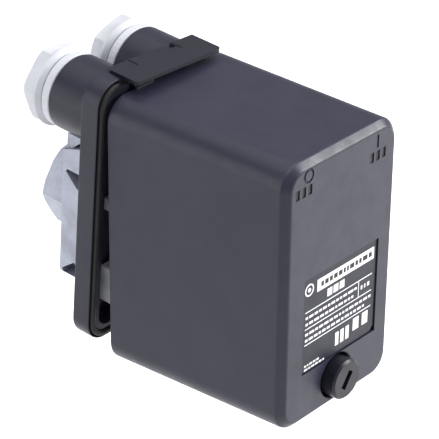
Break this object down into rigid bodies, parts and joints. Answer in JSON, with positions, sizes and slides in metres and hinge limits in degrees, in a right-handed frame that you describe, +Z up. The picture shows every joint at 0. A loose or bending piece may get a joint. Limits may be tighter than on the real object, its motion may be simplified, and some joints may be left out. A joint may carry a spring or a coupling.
{
  "type": "pressure switch",
  "caption": "Air-compressor pressure switch: hinged box cover over a base with cable glands, cast pressure head, auto/off rocker and a spring, lever and contact mechanism.",
  "frame": {"origin": "centre of the rear pressure port's face", "axes": "+Y out of the rear port, so the cover's front faces -Y; +X to the right seen from the front; +Z up"},
  "size_m": [0.055, 0.1069, 0.0886],
  "materials": {
    "black_plastic": "fine-grained matte moulding",
    "base_plastic": "fine-grained matte moulding",
    "rubber": "matte",
    "pale_plastic": "satin light grey nylon",
    "die_cast_zinc": "as-cast, slightly grainy",
    "zinc_steel": "bright zinc plated",
    "spring_steel": "drawn wire",
    "brass": "machined",
    "thermoset": "moulded thermoset",
    "ivory_plastic": "smooth moulded",
    "label": "printed plate"
  },
  "bodies": {
    "base": {"base_housing": "base_plastic", "cover_seal": "rubber", "gland_seal_left": "rubber", "gland_seal_right": "rubber", "diaphragm": "rubber", "gland_body_left": "pale_plastic", "gland_body_right": "pale_plastic", "pressure_head": "die_cast_zinc", "cover_stud": "zinc_steel", "auto_off_pin": "zinc_steel", "head_screw_1": "zinc_steel", "head_screw_2": "zinc_steel", "head_screw_3": "zinc_steel", "head_screw_4": "zinc_steel", "mechanism_frame": "zinc_steel", "range_stud": "zinc_steel", "range_spring_seat": "zinc_steel", "differential_stud": "zinc_steel", "differential_spring_seat": "zinc_steel", "earth_screw": "zinc_steel", "block_screw_left": "zinc_steel", "block_screw_right": "zinc_steel", "line_screw_1": "zinc_steel", "line_screw_2": "zinc_steel", "line_screw_3": "zinc_steel", "load_screw_1": "zinc_steel", "load_screw_2": "zinc_steel", "load_screw_3": "zinc_steel", "main_lever_pin": "spring_steel", "range_spring": "spring_steel", "differential_spring": "spring_steel", "earth_clamp": "brass", "line_terminal_1": "brass", "line_terminal_2": "brass", "line_terminal_3": "brass", "load_terminal_1": "brass", "load_terminal_2": "brass", "load_terminal_3": "brass", "contact_block": "thermoset"},
    "cover": {"cover": "black_plastic", "label_plate": "label"},
    "screw_travel": {"screw_retainer": "spring_steel"},
    "cover_screw": {"cover_screw": "black_plastic"},
    "auto_off_lever": {"auto_off_lever": "base_plastic"},
    "gland_nut_left": {"gland_nut_left": "pale_plastic"},
    "gland_nut_right": {"gland_nut_right": "pale_plastic"},
    "main_lever": {"main_lever": "zinc_steel"},
    "piston": {"piston": "zinc_steel"},
    "contacts": {"contact_carrier": "ivory_plastic", "contact_bridge_1": "brass", "contact_bridge_2": "brass", "contact_bridge_3": "brass"},
    "range_nut": {"range_nut": "brass"},
    "differential_nut": {"differential_nut": "brass"}
  },
  "joints": [
    {"name": "cover_hinge", "type": "hinge", "parent": "base", "child": "cover", "pos_m": [0, -0.034, 0.0489], "axis": [1, 0, 0], "range_deg": [-20, 4.3]},
    {"name": "cover_screw_travel", "type": "slide", "parent": "cover", "child": "screw_travel", "axis": [0, -0.9972, 0.075], "range_m": [-0.0036, 0.002]},
    {"name": "cover_screw_turn", "type": "hinge", "parent": "screw_travel", "child": "cover_screw", "pos_m": [0, -0.10003, -0.0206], "axis": [0, -0.9972, 0.075], "continuous": true},
    {"name": "auto_off", "type": "hinge", "parent": "base", "child": "auto_off_lever", "pos_m": [0, -0.0305, 0.0417], "axis": [0, 1, 0], "range_deg": [-5, 0]},
    {"name": "gland_nut_left_turn", "type": "hinge", "parent": "base", "child": "gland_nut_left", "pos_m": [-0.0131, -0.0045, 0.038], "axis": [0, 1, 0], "continuous": true},
    {"name": "gland_nut_right_turn", "type": "hinge", "parent": "base", "child": "gland_nut_right", "pos_m": [0.0131, -0.0045, 0.038], "axis": [0, 1, 0], "continuous": true},
    {"name": "lever_pivot", "type": "hinge", "parent": "base", "child": "main_lever", "pos_m": [0, -0.0415, -0.0178], "axis": [1, 0, 0], "range_deg": [0, 4], "stiffness_Nm_per_rad": 0.4, "springref_deg": -8.59, "deforming": ["range_spring", "differential_spring"]},
    {"name": "piston_stroke", "type": "slide", "parent": "base", "child": "piston", "axis": [0, -1, 0], "range_m": [0, 0.0013]},
    {"name": "contact_stroke", "type": "slide", "parent": "base", "child": "contacts", "axis": [0, -1, 0], "range_m": [0, 0.0033]},
    {"name": "range_nut_turn", "type": "hinge", "parent": "base", "child": "range_nut", "pos_m": [0, -0.0725, 0.0112], "axis": [0, -1, 0], "continuous": true},
    {"name": "differential_nut_turn", "type": "hinge", "parent": "base", "child": "differential_nut", "pos_m": [0.008, -0.0585, 0.0172], "axis": [0, -1, 0], "continuous": true}
  ],
  "couplings": [
    {"joint": "piston_stroke", "follows": "lever_pivot", "m_per_rad": 0.0178},
    {"joint": "contact_stroke", "follows": "lever_pivot", "m_per_rad": 0.0455}
  ]
}
